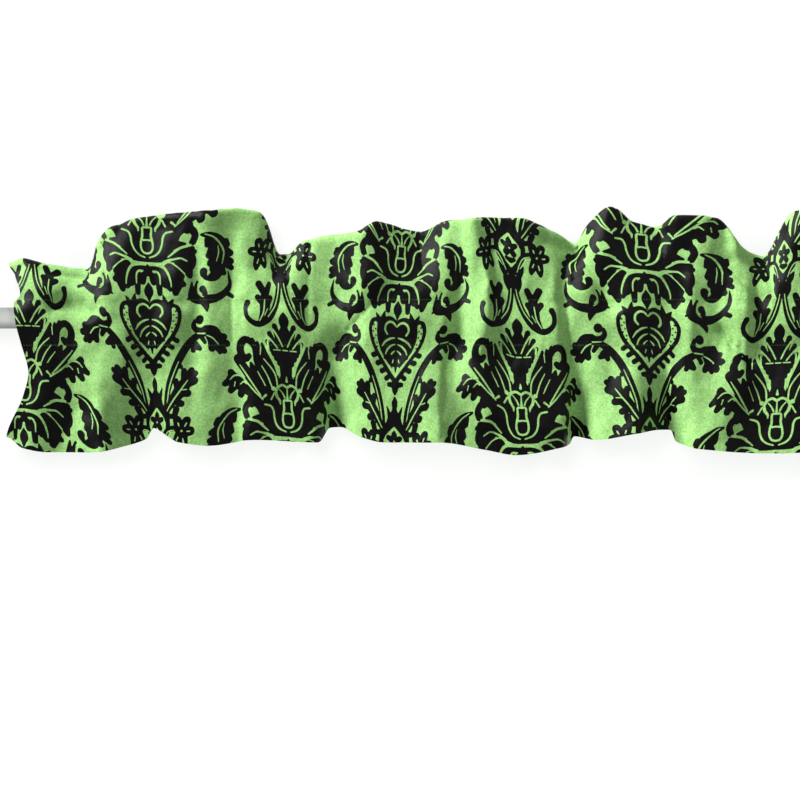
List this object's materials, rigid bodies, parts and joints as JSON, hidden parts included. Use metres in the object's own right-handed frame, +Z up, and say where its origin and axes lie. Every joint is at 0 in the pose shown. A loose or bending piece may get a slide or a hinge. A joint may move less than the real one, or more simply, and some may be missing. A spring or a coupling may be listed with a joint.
{
  "type": "window valance on a curtain rod",
  "caption": "Short gathered cloth valance with a rod pocket and a standing header, printed with a floral damask, scrunched along a plain round rod.",
  "frame": {"origin": "centre of the rod's left end face, seen from the front", "axes": "+X along the rod to its right end, +Z up, and the cloth's front faces -Y"},
  "size_m": [1.37, 0.0733, 0.2953],
  "materials": {
    "printed_cloth": "matte lime green weave with a black print",
    "rod_paint": "satin white paint"
  },
  "bodies": {
    "root": {"valance": "printed_cloth", "rod": "rod_paint"}
  },
  "joints": []
}
